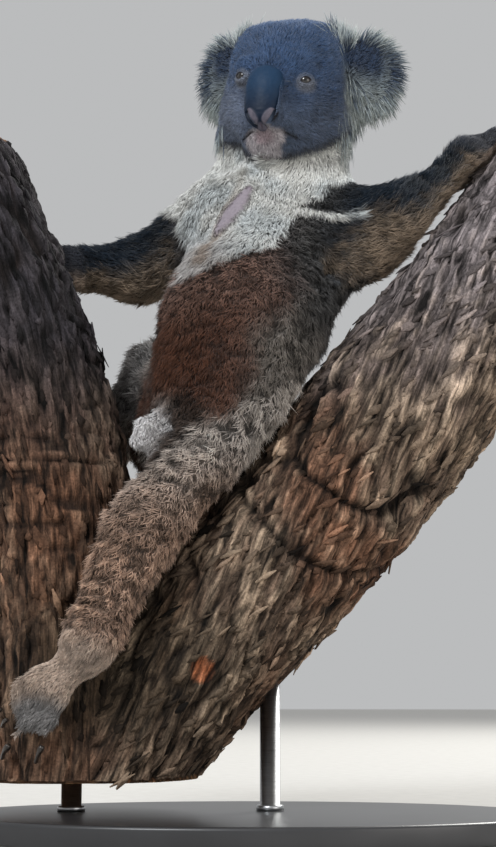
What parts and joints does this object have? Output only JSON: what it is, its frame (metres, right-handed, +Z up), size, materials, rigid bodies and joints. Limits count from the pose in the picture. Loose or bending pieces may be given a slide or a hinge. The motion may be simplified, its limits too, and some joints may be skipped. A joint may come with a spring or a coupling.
{
  "type": "life-size koala figure on a tree fork",
  "caption": "Still model of an adult male koala that sprawls in a tree fork, gripping both branches, on a plain display stand.",
  "frame": {"origin": "middle of the stand base's underside", "axes": "+Z up, -Y the way the koala faces, +X to the koala's left, along the sloping limb"},
  "size_m": [0.9337, 0.4, 0.9415],
  "materials": {
    "fur": "dense woolly grey-brown coat, in tufts",
    "pale_fur": "long soft cream coat",
    "nose": "bare, finely pebbled blue-black skin with a low sheen",
    "eye": "polished wet brown",
    "claw": "smooth dark horn",
    "bark": "rough fissured bark, sawn ends bare",
    "lacquer": "satin dark lacquer",
    "steel": "brushed"
  },
  "bodies": {
    "root": {"claw_foot_left_2": "claw", "claw_foot_left_3": "claw", "claw_foot_left_4": "claw", "claw_foot_left_5": "claw", "claw_foot_right_2": "claw", "claw_foot_right_3": "claw", "claw_foot_right_4": "claw", "claw_foot_right_5": "claw", "claw_hand_left_1": "claw", "claw_hand_left_2": "claw", "claw_hand_left_3": "claw", "claw_hand_left_4": "claw", "claw_hand_left_5": "claw", "claw_hand_right_1": "claw", "claw_hand_right_2": "claw", "claw_hand_right_3": "claw", "claw_hand_right_4": "claw", "claw_hand_right_5": "claw", "ear_left": "pale_fur", "ear_right": "pale_fur", "eye_left": "eye", "eye_right": "eye", "foot_left": "fur", "foot_right": "fur", "forearm_left": "fur", "forearm_right": "fur", "hand_left": "fur", "hand_right": "fur", "head": "fur", "neck": "pale_fur", "nose": "nose", "perch_limb": "bark", "perch_trunk": "bark", "scrotum": "pale_fur", "shank_left": "fur", "shank_right": "fur", "stand_base": "lacquer", "stand_rod_fork": "steel", "stand_rod_limb": "steel", "thigh_left": "fur", "thigh_right": "fur", "trunk": "fur", "upper_arm_left": "fur", "upper_arm_right": "fur"}
  },
  "joints": []
}
